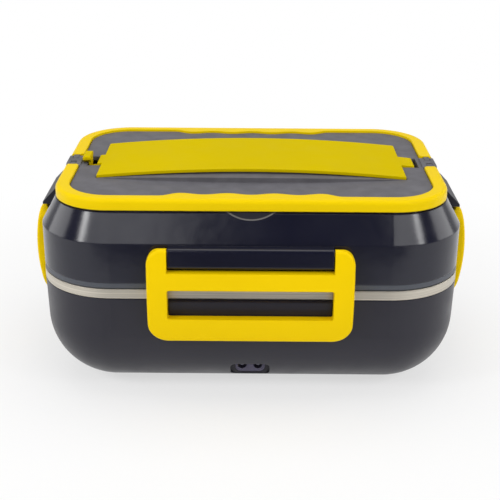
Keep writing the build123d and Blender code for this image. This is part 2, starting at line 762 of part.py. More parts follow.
def hinge_tongues(side):
    """The two hinge tongues of a handle: each fills its pocket in the arm and turns on its pin."""
    reach = block_half + seat_gap - pivot_y
    with BuildPart() as form:
        for end in (-1, 1):
            side_view = Plane.YZ.offset(end * tongue_centre)
            with BuildSketch(side_view):
                with Locations((side * pivot_y, pivot_z)):
                    Circle(tongue_radius)
                with Locations((side * (pivot_y + reach / 2), pivot_z)):
                    Rectangle(reach, 2 * tongue_radius)
                with BuildSketch(mode=Mode.PRIVATE) as upper_corner:
                    with Locations((side * (pivot_y - tongue_radius / 2), pivot_z + tongue_radius / 2)):
                        Rectangle(tongue_radius, tongue_radius)
                    inner_top = upper_corner.vertices().group_by(Axis.Y)[-1].sort_by(lambda v: side * v.X)[0]
                    fillet(inner_top, radius=tongue_corner)
                add(upper_corner.sketch)
            extrude(amount=tongue / 2, both=True)
            tongue_root_at(end, side)
            with BuildSketch(side_view):
                with Locations((side * pivot_y, pivot_z)):
                    Circle(handle_pin_radius + pin_clearance)
            extrude(amount=tongue, both=True, mode=Mode.SUBTRACT)
    return form


tongue_centre = (handle_inner_x + handle_outer_x) / 2
front_handle = handle(-1)
export(front_handle, "front_handle")
rear_handle = handle(1)
export(rear_handle, "rear_handle")
front_hinge_tongues = hinge_tongues(-1)
export(front_hinge_tongues, "front_hinge_tongues")
rear_hinge_tongues = hinge_tongues(1)
export(rear_hinge_tongues, "rear_hinge_tongues")

panel_half_x = handle_inner_x - gap
panel_half_y = handle_inner_y - gap
panel_radius = handle_inner_radius - gap
block_outer_x = handle_outer_x - seat_gap / 2
slot_start = pivot_y - (tongue_radius - tongue_corner) * math.sqrt(2) - tongue_corner - gap
skirt_half_x = panel_half_x - skirt
skirt_half_y = panel_half_y - hump_depth - gap
plate_bottom = panel_top - panel_thickness
with BuildPart() as wave_cut:
    for side in (-1, 1):
        far = side * handle_outer_y
        with BuildSketch(Plane.XY.offset(plate_bottom)):
            with BuildLine():
                waved_line(side, gap)
                Polyline(
                    (wave_half, side * panel_half_y),
                    (wave_half, far),
                    (-wave_half, far),
                    (-wave_half, side * panel_half_y),
                )
            make_face()
        extrude(amount=panel_thickness)
with BuildPart() as saddle:
    with BuildSketch(Plane.XY.offset(plate_bottom)):
        with BuildLine():
            for side in (-1, 1):
                ThreePointArc(
                    (-saddle_end_x, side * (cover_half_y + gap)),
                    (0, side * (cover_half_y + gap + saddle_bow)),
                    (saddle_end_x, side * (cover_half_y + gap)),
                )
            for side in (-1, 1):
                Line(
                    (side * saddle_end_x, -cover_half_y - gap),
                    (side * saddle_end_x, cover_half_y + gap),
                )
        make_face()
    extrude(amount=panel_thickness + saddle_rise + cover_crown)
    add(below_saddle, mode=Mode.INTERSECT)
with BuildPart() as cover_space:
    plate(cover_half_x + gap, cover_half_y + gap, gap, plate_bottom, cover_top)
    add(below_cover_seat, mode=Mode.SUBTRACT)
with BuildPart() as lid_top_panel:
    plate(panel_half_x, panel_half_y, panel_radius, plate_bottom, panel_top)
    add(wave_cut.part, mode=Mode.SUBTRACT)
    plate(skirt_half_x, skirt_half_y, panel_radius - skirt, ledge_height, plate_bottom)
    plate(
        skirt_half_x - skirt,
        skirt_half_y - skirt,
        panel_radius - 2 * skirt,
        ledge_height,
        plate_bottom,
        Mode.SUBTRACT,
    )
    posts(panel_screw_places, boss_radius - gap, ledge_height, plate_bottom)
    posts(panel_screw_places, screw_shank, ledge_height, panel_top - panel_thickness / 2, Mode.SUBTRACT)
    add(saddle.part)
    plate(
        compartment_half_x + lip_thickness,
        compartment_half_y + lip_thickness,
        compartment_radius + lip_thickness,
        plate_bottom,
        cover_top,
    )
    add(cover_space.part, mode=Mode.SUBTRACT)
    plate(compartment_half_x, compartment_half_y, compartment_radius, plate_bottom, cover_top, Mode.SUBTRACT)
    for side in (-1, 1):
        # hinge block: seated on the ledge, joined to the plate, forked for the two tongues
        low_x, high_x = sorted((side * (panel_half_x - seat_gap), side * block_outer_x))
        with BuildSketch(Plane.YZ.offset(low_x)):
            with Locations((0, (ledge_height + block_top) / 2)):
                block_profile = Rectangle(2 * block_half, block_top - ledge_height)
            fillet(block_profile.vertices().group_by(Axis.Y)[-1], radius=tongue_radius - pin_clearance)
        extrude(amount=high_x - low_x)
        for end in (-1, 1):
            y_low, y_high = sorted((end * slot_start, end * (block_half + gap)))
            block(
                (side * tongue_centre - tongue / 2 - gap / 2, side * tongue_centre + tongue / 2 + gap / 2),
                (y_low, y_high),
                (pivot_z - tongue_radius - gap, handle_top),
                Mode.SUBTRACT,
            )
            with BuildSketch(Plane.YZ.offset(side * block_outer_x)):
                with Locations((end * pivot_y, pivot_z)):
                    Circle(handle_pin_radius + pin_clearance / 2)
            extrude(amount=-side * (handle_arm - 2 * seat_gap), mode=Mode.SUBTRACT)
    # pin bosses and slot of the cover's hinge, and the slot of its snap loop
    block(
        (cover_pin_x - knuckle_radius - gap, cover_pin_x + knuckle_radius + gap),
        (-tab_half - slot_margin - pin_boss, tab_half + slot_margin + pin_boss),
        (snap_bottom - gap / 2, plate_bottom),
    )
    slot_width = (-tab_half - slot_margin, tab_half + slot_margin)
    slot_length = (cover_half_x - gap, hinge_slot_end)
    block(slot_length, slot_width, (ledge_height, panel_top + saddle_rise), Mode.SUBTRACT)
    block(
        (-cover_half_x - tab_left - snap_loop + snap_wall - gap, -cover_half_x + gap),
        slot_width,
        (ledge_height, panel_top + saddle_rise),
        Mode.SUBTRACT,
    )
    with BuildSketch(Plane.XZ):
        with Locations((cover_pin_x, cover_pin_z)):
            Circle(cover_pin_radius + pin_clearance / 2)
    extrude(amount=tab_half + slot_margin + pin_boss - gap, both=True, mode=Mode.SUBTRACT)
export(lid_top_panel, "lid_top_panel")

with BuildPart() as panel_screws:
    posts(panel_screw_places, screw_head, ledge_bottom - screw_head_height, ledge_bottom)
    posts(panel_screw_places, screw_shank - pin_clearance, ledge_bottom, panel_top - panel_thickness * 2 / 3)
export(panel_screws, "panel_screws")

with BuildPart() as handle_pins:
    for side in (-1, 1):
        with BuildSketch(Plane.YZ.offset(side * block_outer_x)):
            with Locations((-pivot_y, pivot_z), (pivot_y, pivot_z)):
                Circle(handle_pin_radius)
        extrude(amount=-side * (handle_arm - 3 * seat_gap))
export(handle_pins, "handle_pins")

with BuildPart() as compartment_tray:
    plate(
        compartment_half_x + lip_thickness + tray_flange,
        compartment_half_y + lip_thickness + tray_flange,
        compartment_radius + lip_thickness + tray_flange,
        plate_bottom - tray_wall,
        plate_bottom,
    )
    plate(
        compartment_half_x + tray_wall,
        compartment_half_y + tray_wall,
        compartment_radius + tray_wall,
        tray_floor,
        plate_bottom - tray_wall,
    )
    plate(
        compartment_half_x,
        compartment_half_y,
        compartment_radius,
        tray_floor + tray_wall,
        plate_bottom,
        Mode.SUBTRACT,
    )
export(compartment_tray, "compartment_tray")

# ---- Cutlery cover ----
snap_end = -cover_half_x - tab_left
loop_end = snap_end - snap_loop + 2 * snap_wall
with BuildPart() as cutlery_cover:
    plate(cover_half_x, cover_half_y, gap, plate_bottom, cover_top)
    block((snap_end, 0), (-tab_half, tab_half), (plate_bottom, cover_top))
    block((0, cover_half_x + tab_right), (-tab_half, tab_half), (plate_bottom, cover_top))
    add(below_cover, mode=Mode.INTERSECT)
    add(below_cover_inside, mode=Mode.SUBTRACT)
    with BuildSketch(Plane.XZ):
        with Locations((cover_pin_x, cover_pin_z)):
            Circle(knuckle_radius)
    extrude(amount=tab_half, both=True)
    with BuildSketch(Plane.XZ):
        with Locations((cover_pin_x, cover_pin_z)):
            Circle(cover_pin_radius + pin_clearance)
    extrude(amount=tab_half, both=True, mode=Mode.SUBTRACT)
    # U-shaped spring loop and its hooded nub
    loop_width = (-snap_half, snap_half)
    block((snap_end, snap_end + snap_wall), loop_width, (snap_bottom, cover_end_height - cover_thickness))
    block((loop_end - snap_wall, snap_end + snap_wall), loop_width, (snap_bottom, snap_bottom + snap_wall))
    block((loop_end - snap_wall, loop_end), loop_width, (snap_bottom, nub_top - nub_rise / 2))
    with BuildSketch(Plane.YZ.offset(loop_end)) as nub_view:
        with BuildLine():
            Polyline(
                (-nub_half, nub_top),
                (-nub_half, nub_top - nub_rise / 2),
                (-nub_neck, panel_top + gap),
                (nub_neck, panel_top + gap),
                (nub_half, nub_top - nub_rise / 2),
                (nub_half, nub_top),
                close=True,
            )
        make_face()
        fillet(nub_view.vertices().group_by(Axis.Y)[-1], radius=nub_round)
    extrude(amount=-(snap_wall + nub_reach))
    nub_end = cutlery_cover.faces().filter_by(Axis.X).sort_by(Axis.X)[0]
    nub_middle = panel_top + nub_rise / 2
    fillet(nub_end.edges().filter_by(lambda edge: (edge @ 0.5).Z > nub_middle), radius=nub_round)
export(cutlery_cover, "cutlery_cover")

with BuildPart() as cover_pin:
    with BuildSketch(Plane.XZ):
        with Locations((cover_pin_x, cover_pin_z)):
            Circle(cover_pin_radius)
    extrude(amount=tab_half + slot_margin + pin_boss - 2 * gap, both=True)
export(cover_pin, "cover_pin")


# ---- Latches ----
def latch(wall_plane, half_width):
    """A snap latch: bowed frame with a window, ears round the lid's hinge bar, and pivot stubs."""
    window_half = half_width - ear_width
    profile_plane = side_plane(wall_plane)
    ear_top = pivot_height + ear_radius
    blank_top = ear_top + ear_radius
    blank_bottom = latch_bottom - gap
    back_n = pivot_n - ear_radius + pin_clearance
    lean = math.asin((pivot_height - latch_bulge_height) / latch_arc)
    with BuildPart() as form:
        with BuildSketch(profile_plane):
            with BuildLine():
                ThreePointArc(
                    (bow_at(blank_bottom), blank_bottom),
                    (latch_bulge, latch_bulge_height),
                    (bow_at(blank_top), blank_top),
                )
                Polyline(
                    (bow_at(blank_top), blank_top),
                    (back_n, blank_top),
                    (back_n, blank_bottom),
                    (bow_at(blank_bottom), blank_bottom),
                )
            make_face()
        extrude(amount=half_width + gap, both=True)
        with BuildSketch(wall_plane) as front_view:
            with Locations((0, (latch_bottom + ear_top) / 2)):
                Rectangle(2 * half_width, ear_top - latch_bottom)
            fillet(front_view.vertices().group_by(Axis.Y)[0], radius=latch_corner)
            fillet(front_view.vertices().group_by(Axis.Y)[-1], radius=ear_corner)
        extrude(amount=latch_bulge * 2, mode=Mode.INTERSECT)
        bow = form.faces().filter_by(GeomType.CYLINDER).sort_by(SortBy.AREA)[-1]
        fillet(bow.edges(), radius=latch_edge_round)
        # the ears are round about the pivot
        with BuildSketch(profile_plane):
            with BuildLine():
                lean_angle = math.degrees(lean)
                ear = CenterArc((pivot_n, pivot_height), ear_radius, lean_angle, 180 - lean_angle)
                Polyline(
                    ear @ 1,
                    (back_n - 2 * gap, pivot_height),
                    (back_n - 2 * gap, blank_top),
                    (latch_bulge + gap, blank_top),
                    (latch_bulge + gap, (ear @ 0).Y),
                    ear @ 0,
                )
            make_face()
        extrude(amount=half_width + gap, both=True, mode=Mode.SUBTRACT)
        with BuildSketch(wall_plane):
            with Locations((0, (window_bottom + crossbar_bottom) / 2)):
                RectangleRounded(2 * window_half, crossbar_bottom - window_bottom, window_corner)
            with Locations((0, (crossbar_top + blank_top) / 2)):
                Rectangle(2 * window_half, blank_top - crossbar_top)
        extrude(amount=latch_bulge * 2, mode=Mode.SUBTRACT)
        # the back of the bars clears the catch lug
        with BuildSketch(wall_plane):
            with Locations((0, (blank_bottom + crossbar_top) / 2)):
                Rectangle(2 * window_half, crossbar_top - blank_bottom)
        extrude(amount=latch_back, mode=Mode.SUBTRACT)
        for end in (-1, 1):
            with BuildSketch(profile_plane.offset(end * (window_half + gap))):
                with Locations((pivot_n, pivot_height)):
                    Circle(stub_radius)
            extrude(amount=-end * (gap + gap + stub_length))
    return form


for side, wall_plane in wall_planes.items():
    export(latch(wall_plane, latch_halves[side]), f"{side}_latch")
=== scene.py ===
"""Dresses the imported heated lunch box: moulded plastics, steel, silicone, rubber and the studio."""

import math

import bpy
from mathutils import Matrix, Vector


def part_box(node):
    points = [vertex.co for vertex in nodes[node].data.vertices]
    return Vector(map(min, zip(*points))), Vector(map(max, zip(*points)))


bl_info = {
    "name": "Heated lunch box",
    "version": (1, 0, 0),
    "blender": (4, 5, 0),
    "location": "View3D > Sidebar > Lunch box",
    "description": "Materials and studio for a heated lunch box with a latched lid",
    "category": "Object",
}

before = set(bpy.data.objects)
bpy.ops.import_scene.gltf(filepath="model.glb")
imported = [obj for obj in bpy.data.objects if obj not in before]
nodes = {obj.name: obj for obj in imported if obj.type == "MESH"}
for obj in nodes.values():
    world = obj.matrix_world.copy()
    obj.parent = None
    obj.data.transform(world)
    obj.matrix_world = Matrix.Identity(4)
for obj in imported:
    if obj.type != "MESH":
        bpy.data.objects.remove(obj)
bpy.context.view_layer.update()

# ---- Places on the lid, in metres ----

shoulder_lean = math.radians(28.8)  # how far the sloping shoulder leans in from upright
lean_cos = math.cos(shoulder_lean)
lean_sin = math.sin(shoulder_lean)
ring_edge_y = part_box("rear_handle")[1][1]
ledge_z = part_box("lid_shell")[1][2]
shoulder_face = ring_edge_y * lean_cos + ledge_z * lean_sin  # from the origin, square to the slope

scoop_rise = 0.0152  # from the ledge's edge up the slope to the centre of the finger scoop's arc
scoop_centre = (0.0, scoop_rise * lean_sin - ring_edge_y, scoop_rise * lean_cos + ledge_z)
scoop_radius = 0.0189
scoop_half_width = 0.0165
scoop_foot_z = 0.0992
scoop_skin = 0.0004  # what lies deeper than this under the slope belongs to the scoop
# the scoop's lip gets a painted highlight: a lighter ring of this width and colour
lip_width = 0.0006
lip_highlight_colour = (0.15, 0.145, 0.14)

saddle_inner_x = 0.1005
saddle_half_width = 0.0221
saddle_foot_z = 0.0865

# Etched places: a few planes each, as a direction and how far along it the etching starts
etch_fade = 0.0005  # from gloss to fully etched
etched_roughness = 0.48
side_saddles = (
    ((1.0, 0.0, 0.0), saddle_inner_x),
    ((0.0, -1.0, 0.0), -saddle_half_width),
    ((0.0, 0.0, 1.0), saddle_foot_z),
)
finger_scoop = (
    ((-1.0, 0.0, 0.0), -scoop_half_width),
    ((0.0, 0.0, 1.0), scoop_foot_z),
    ((0.0, -lean_cos, -lean_sin), scoop_skin - shoulder_face),
)

# ---- Shader building ----


def new_material(name):
    """A fresh material with one Principled shader, and its node tree."""
    material = bpy.data.materials.new(name)
    material.use_nodes = True
    tree = material.node_tree
    shader = tree.nodes["Principled BSDF"]
    return material, tree, shader


def object_coordinates(tree, scale=(1.0, 1.0, 1.0)):
    """Object coordinates through a Mapping node."""
    place = tree.nodes.new("ShaderNodeTexCoord")
    mapping = tree.nodes.new("ShaderNodeMapping")
    mapping.inputs["Scale"].default_value = scale
    tree.links.new(place.outputs["Object"], mapping.inputs["Vector"])
    return mapping.outputs["Vector"]


def noise(tree, vector, scale, detail=3.0, roughness=0.5):
    """A noise pattern and its factor output."""
    pattern = tree.nodes.new("ShaderNodeTexNoise")
    pattern.inputs["Scale"].default_value = scale
    pattern.inputs["Detail"].default_value = detail
    pattern.inputs["Roughness"].default_value = roughness
    tree.links.new(vector, pattern.inputs["Vector"])
    return pattern.outputs["Fac"]


def remap(tree, value, low, high, start=0.3, end=0.7):
    """Maps a stretch of a value, as a rule the middle of a pattern, onto a range."""
    ramp = tree.nodes.new("ShaderNodeMapRange")
    ramp.inputs["From Min"].default_value = start
    ramp.inputs["From Max"].default_value = end
    ramp.inputs["To Min"].default_value = low
    ramp.inputs["To Max"].default_value = high
    tree.links.new(value, ramp.inputs["Value"])
    return ramp.outputs["Result"]


def two_tone(tree, value, first, second, start=0.35, end=0.65):
    """A colour that runs from one tone to another with a value."""
    ramp = tree.nodes.new("ShaderNodeValToRGB")
    ramp.color_ramp.elements[0].position = start
    ramp.color_ramp.elements[0].color = (*first, 1.0)
    ramp.color_ramp.elements[1].position = end
    ramp.color_ramp.elements[1].color = (*second, 1.0)
    tree.links.new(value, ramp.inputs["Fac"])
    return ramp.outputs["Color"]


def relief(tree, height, distance, strength=1.0, normal=None):
    """A bump of a real height, over an optional base normal."""
    bump = tree.nodes.new("ShaderNodeBump")
    bump.inputs["Distance"].default_value = distance
    bump.inputs["Strength"].default_value = strength
    tree.links.new(height, bump.inputs["Height"])
    if normal is not None:
        tree.links.new(normal, bump.inputs["Normal"])
    return bump.outputs["Normal"]


def soft_edge(tree, radius):
    """Normals that turn over an edge, as a small moulded radius does."""
    bevel = tree.nodes.new("ShaderNodeBevel")
    bevel.samples = 6
    bevel.inputs["Radius"].default_value = radius
    return bevel.outputs["Normal"]


def shade(colour, factor):
    """The same colour, lighter or darker."""
    return tuple(min(1.0, channel * factor) for channel in colour)


def combine(tree, operation, first, second):
    """Joins two values with a Math operation."""
    joined = tree.nodes.new("ShaderNodeMath")
    joined.operation = operation
    tree.links.new(first, joined.inputs[0])
    tree.links.new(second, joined.inputs[1])
    return joined.outputs[0]


def measure(tree, operation, vector, other=(0.0, 0.0, 0.0)):
    """The LENGTH of a vector, its DISTANCE from a point or its DOT_PRODUCT with a direction."""
    ruler = tree.nodes.new("ShaderNodeVectorMath")
    ruler.operation = operation
    ruler.inputs[1].default_value = other
    tree.links.new(vector, ruler.inputs[0])
    return ruler.outputs["Value"]


def both_sides(tree, place):
    """The same coordinates on either side of the middle."""
    mirror = tree.nodes.new("ShaderNodeVectorMath")
    mirror.operation = "ABSOLUTE"
    tree.links.new(place, mirror.inputs[0])
    return mirror.outputs["Vector"]


def coordinate(tree, vector, axis):
    """One coordinate of a vector."""
    parts = tree.nodes.new("ShaderNodeSeparateXYZ")
    tree.links.new(vector, parts.inputs["Vector"])
    return parts.outputs[axis]


def blend_colour(tree, share, tone, colour):
    """A tone that gives way to a fixed colour by a share."""
    blend = tree.nodes.new("ShaderNodeMix")
    blend.data_type = "RGBA"
    blend.inputs["B"].default_value = (*colour, 1.0)
    tree.links.new(share, blend.inputs["Factor"])
    tree.links.new(tone, blend.inputs["A"])
    return blend.outputs["Result"]


def blend_shaders(tree, share, first, second):
    """A shader that gives way to another by a share."""
    blend = tree.nodes.new("ShaderNodeMixShader")
    tree.links.new(share, blend.inputs["Fac"])
    tree.links.new(first, blend.inputs[1])
    tree.links.new(second, blend.inputs[2])
    return blend.outputs[0]


def even_light(tree, kind, colour=(1.0, 1.0, 1.0), strength=1.0):
    """An Emission or Background shader of one colour."""
    light = tree.nodes.new(kind)
    light.inputs["Color"].default_value = (*colour, 1.0)
    light.inputs["Strength"].default_value = strength
    return light


def seen_directly(tree):
    """One where a ray comes from the camera, from a reflection or through something clear."""
    path = tree.nodes.new("ShaderNodeLightPath")
    mirrored = combine(tree, "MAXIMUM", path.outputs["Is Glossy Ray"], path.outputs["Is Transmission Ray"])
    return combine(tree, "MAXIMUM", path.outputs["Is Camera Ray"], mirrored)


def dress(tree, shader, tone, rough, surface):
    """Joins a tone, a roughness and a surface to the shader."""
    for result, socket in ((tone, "Base Color"), (rough, "Roughness"), (surface, "Normal")):
        tree.links.new(result, shader.inputs[socket])


def finish_node(node, material):
    """Gives a CAD node its material."""
    piece = nodes[node]
    piece.data.materials.clear()
    piece.data.materials.append(material)


# ---- Finishes ----


def drifting_tone(tree, place, colour, spread=0.06, scale=14.0):
    """A colour that drifts a little lighter and darker over the piece."""
    drift = noise(tree, place, scale)
    return two_tone(tree, drift, shade(colour, 1.0 - spread), shade(colour, 1.0 + spread))


def handled(tree, place, roughness):
    """A roughness that varies as on a piece that hands have held."""
    handling = noise(tree, place, 55.0, 4.0, 0.6)
    return remap(tree, handling, roughness * 0.85, roughness * 1.2)


def tool_texture(tree, place, scale, depth, edge):
    """The mould's fine texture over softly rounded edges."""
    grain = noise(tree, place, scale, 3.0, 0.6)
    return relief(tree, grain, depth, 1.0, soft_edge(tree, edge))


def moulded(
    name, colour, roughness, edge, texture_scale=900.0, texture_depth=0.00002, spread=0.06, drift_scale=14.0,
    gloss=0.3,
):
    """Moulded plastic: fine tool texture, faint drift of tone and gloss, and small edge radii."""
    material, tree, shader = new_material(name)
    place = object_coordinates(tree)
    tone = drifting_tone(tree, place, colour, spread, drift_scale)
    surface = tool_texture(tree, place, texture_scale, texture_depth, edge)
    dress(tree, shader, tone, handled(tree, place, roughness), surface)
    shader.inputs["Specular IOR Level"].default_value = gloss
    return material


def etched(tree, place):
    """One on the side saddles and in the finger scoop, which the mould etches matt."""
    mirrored = both_sides(tree, place)
    result = None
    for planes in (side_saddles, finger_scoop):
        zone = None
        for direction, start in planes:
            along = measure(tree, "DOT_PRODUCT", mirrored, direction)
            inside = remap(tree, along, 0.0, 1.0, start, start + etch_fade)
            zone = inside if zone is None else combine(tree, "MINIMUM", zone, inside)
        result = zone if result is None else combine(tree, "MAXIMUM", result, zone)
    return result


def painted_lip_highlight(tree, place, tone):
    """Paints a highlight on the scoop's lip: a lighter ring where the scoop's edge catches light."""
    fade = 0.5 * lip_width
    away = measure(tree, "DISTANCE", place, scoop_centre)
    outer = remap(tree, away, 1.0, 0.0, scoop_radius + lip_width, scoop_radius + lip_width + fade)
    inner = remap(tree, away, 0.0, 1.0, scoop_radius - fade, scoop_radius)
    return blend_colour(tree, combine(tree, "MULTIPLY", inner, outer), tone, lip_highlight_colour)


def glossy_lid(name, colour, roughness):
    """The lid's gloss with a slight sink in its walls, etched places and a painted highlight on the scoop's
    lip.
    """
    material, tree, shader = new_material(name)
    place = object_coordinates(tree)
    tone = painted_lip_highlight(tree, place, drifting_tone(tree, place, colour))
    matt = remap(tree, etched(tree, place), 0.0, etched_roughness, 0.0, 1.0)
    rough = combine(tree, "MAXIMUM", handled(tree, place, roughness), matt)
    texture = tool_texture(tree, place, scale=700.0, depth=0.000006, edge=0.0009)
    surface = relief(tree, noise(tree, place, 55.0, 2.0), 0.00018, 1.0, texture)
    dress(tree, shader, tone, rough, surface)
    shader.inputs["Specular IOR Level"].default_value = 0.5
    return material


def drawn_steel(name, colour, roughness):
    """Drawn and brushed steel: fine lines run along the sheet, level with the rim."""
    material, tree, shader = new_material(name)
    lines_per_metre = (9.0, 9.0, 2400.0)
    lines = noise(tree, object_coordinates(tree, lines_per_metre), 1.0, 3.0, 0.7)
    cloud = noise(tree, object_coordinates(tree), 22.0)
    streaks = combine(tree, "MULTIPLY", lines, remap(tree, cloud, 0.8, 1.2))
    tone = two_tone(tree, streaks, shade(colour, 0.78), shade(colour, 1.12))
    rough = remap(tree, cloud, roughness * 0.8, roughness * 1.25)
    dress(tree, shader, tone, rough, relief(tree, lines, 0.00002, 0.5, soft_edge(tree, 0.0012)))
    shader.inputs["Metallic"].default_value = 1.0
    return material


def plated_steel(name, colour, roughness):
    """Zinc plated or bright steel of small parts."""
    material, tree, shader = new_material(name)
    cloud = noise(tree, object_coordinates(tree), 260.0)
    tone = two_tone(tree, cloud, shade(colour, 0.85), colour)
    rough = remap(tree, cloud, roughness, roughness * 1.6)
    dress(tree, shader, tone, rough, relief(tree, cloud, 0.00001, 0.6, soft_edge(tree, 0.0002)))
    shader.inputs["Metallic"].default_value = 1.0
    return material


def rubbery(name, colour, roughness, edge):
    """Silicone or rubber: matt, with a velvety sheen and a faint grain."""
    material, tree, shader = new_material(name)
    place = object_coordinates(tree)
    drift = noise(tree, place, 30.0)
    tone = two_tone(tree, drift, shade(colour, 0.93), shade(colour, 1.06))
    rough = remap(tree, drift, roughness * 0.9, min(1.0, roughness * 1.1))
    grain = noise(tree, place, 1800.0, 2.0)
    dress(tree, shader, tone, rough, relief(tree, grain, 0.00002, 0.6, soft_edge(tree, edge)))
    shader.inputs["Sheen Weight"].default_value = 0.15
    shader.inputs["Sheen Roughness"].default_value = 0.4
    return material


# ---- Settings ----


def colour_setting(name, description, default):
    """A colour with its name and default."""
    return bpy.props.FloatVectorProperty(
        name=name, description=description, default=default, subtype="COLOR", size=3, min=0.0, max=1.0
    )


def amount_setting(name, description, default):
    """A share between nothing and all."""
    return bpy.props.FloatProperty(name=name, description=description, default=default, min=0.0, max=1.0)


def length_setting(name, description, default):
    """A length or a place in metres."""
    return bpy.props.FloatProperty(name=name, description=description, default=default, unit="LENGTH")


def angle_setting(name, description, default):
    """An angle in radians."""
    return bpy.props.FloatProperty(name=name, description=description, default=default, subtype="ANGLE")


def power_setting(name, description, default):
    """A lamp's power in watts."""
    return bpy.props.FloatProperty(name=name, description=description, default=default, unit="POWER")


class LunchBoxFinishes(bpy.types.PropertyGroup):
    """Colours and gloss of the visible pieces."""

    lid_colour: colour_setting("Lid", "Dark navy of the glossy lid", (0.007, 0.0075, 0.019))
    lid_roughness: amount_setting("Lid roughness", "Roughness of the glossy lid", 0.17)
    base_colour: colour_setting("Base", "Charcoal navy of the base tub", (0.0125, 0.0115, 0.0215))
    base_roughness: amount_setting("Base roughness", "Roughness of the base tub", 0.36)
    panel_colour: colour_setting("Top panel", "Grey of the lid's top panel", (0.134, 0.131, 0.145))
    handle_colour: colour_setting("Handles", "Yellow of the handles", (0.89, 0.63, 0.0))
    latch_colour: colour_setting("Latches", "Yellow of the latches", (0.92, 0.63, 0.0))
    cover_colour: colour_setting("Cover", "Deeper yellow of the cutlery cover", (0.65, 0.49, 0.0))
    steel_colour: colour_setting("Container", "Steel of the container", (0.66, 0.615, 0.53))
    seal_colour: colour_setting("Seal", "Blue-grey silicone of the lid's seal", (0.068, 0.076, 0.094))
    inlet_colour: colour_setting("Inlet", "Grey violet of the power inlet", (0.135, 0.125, 0.19))


class LunchBoxStudio(bpy.types.PropertyGroup):
    """Camera, lamps and floor."""

    camera_side: length_setting("Camera side", "Place of the lens to the right of the middle", 0.000335)
    camera_distance: length_setting("Camera distance", "Distance of the lens in front of the middle", 0.5712)
    camera_height: length_setting("Camera height", "Height of the lens over the table", 0.2857)
    camera_pitch: angle_setting("Camera pitch", "How far the camera looks down", 0.3822)
    camera_yaw: angle_setting("Camera yaw", "How far the camera looks to the left", 0.0015)
    camera_roll: angle_setting("Camera roll", "Turn about the viewing direction", 0.0069)
    lens: bpy.props.FloatProperty(
        name="Lens", description="Focal length in millimetres", default=76.062, unit="CAMERA"
    )
    ambient: amount_setting("Ambient", "Strength of the even light", 0.42)
    top_lamp: power_setting("Top lamp", "Power of the overhead softbox", 4.6)
    front_lamp: power_setting("Front lamps", "Power of each broad softbox", 1.8)
    side_lamp: power_setting("Side lamps", "Middling power of the two narrow softboxes", 2.1)
    end_lamp: power_setting("End lamps", "Power of each end softbox", 1.9)
    floor_colour: colour_setting("Floor", "Pale floor", (0.90, 0.90, 0.90))
    floor_white: amount_setting("Floor white", "Share of plain white in the floor next to the box", 0.62)


# ---- Operators ----


class LUNCHBOX_OT_dark_mouldings(bpy.types.Operator):
    """Finish the glossy lid and the satin base tub"""

    bl_idname = "lunchbox.dark_mouldings"
    bl_label = "Dark mouldings"

    def execute(self, context):
        finish = context.scene.lunchbox_finishes
        base = moulded(
            "base_satin", tuple(finish.base_colour), finish.base_roughness, edge=0.0008,
            texture_depth=0.00003, gloss=0.45,
        )
        finish_node("lid_shell", glossy_lid("lid_gloss", tuple(finish.lid_colour), finish.lid_roughness))
        finish_node("base_shell", base)
        return {"FINISHED"}


class LUNCHBOX_OT_top_panel(bpy.types.Operator):
    """Finish the grey top panel, the tray and the inner linings"""

    bl_idname = "lunchbox.top_panel"
    bl_label = "Top panel and linings"

    def execute(self, context):
        colour = tuple(context.scene.lunchbox_finishes.panel_colour)
        panel = moulded(
            "panel_grain", colour, 0.5, edge=0.0007, texture_scale=1100.0, texture_depth=0.00004,
            spread=0.09, drift_scale=130.0, gloss=0.2,
        )
        tongues = moulded(
            "tongue_grain", colour, 0.5, edge=0.0003, texture_scale=1100.0, texture_depth=0.00003,
            spread=0.05, gloss=0.2,
        )
        lining = moulded(
            "lining_matt", (0.17, 0.175, 0.19), 0.45, edge=0.0008, texture_scale=1000.0, texture_depth=0.00003
        )
        finish_node("lid_top_panel", panel)
        for node in ("front_hinge_tongues", "rear_hinge_tongues"):
            finish_node(node, tongues)
        for node in ("base_liner", "lid_liner", "compartment_tray"):
            finish_node(node, lining)
        return {"FINISHED"}


class LUNCHBOX_OT_yellow_mouldings(bpy.types.Operator):
    """Finish the handles, latches and cutlery cover"""

    bl_idname = "lunchbox.yellow_mouldings"
    bl_label = "Yellow mouldings"

    def execute(self, context):
        finish = context.scene.lunchbox_finishes
        handle = moulded(
            "handle_yellow", tuple(finish.handle_colour), 0.36, edge=0.0010, spread=0.02, gloss=0.06
        )
        latch = moulded(
            "latch_yellow", tuple(finish.latch_colour), 0.36, edge=0.0009, spread=0.02, gloss=0.06
        )
        cover = moulded(
            "cover_yellow", tuple(finish.cover_colour), 0.5, edge=0.0006, texture_scale=1100.0,
            texture_depth=0.00003, spread=0.02, gloss=0.01,
        )
        for node in ("front_handle", "rear_handle"):
            finish_node(node, handle)
        for node in ("front_latch", "rear_latch", "left_latch", "right_latch"):
            finish_node(node, latch)
        finish_node("cutlery_cover", cover)
        return {"FINISHED"}


class LUNCHBOX_OT_container_and_seal(bpy.types.Operator):
    """Finish the steel container, the silicone seal and the feet"""

    bl_idname = "lunchbox.container_and_seal"
    bl_label = "Container, seal and feet"

    def execute(self, context):
        finish = context.scene.lunchbox_finishes
        finish_node("steel_container", drawn_steel("container_steel", tuple(finish.steel_colour), 0.42))
        finish_node("lid_seal", rubbery("seal_silicone", tuple(finish.seal_colour), 0.5, edge=0.0008))
        finish_node("rubber_feet", rubbery("foot_rubber", (0.022, 0.022, 0.024), 0.75, edge=0.0004))
        return {"FINISHED"}


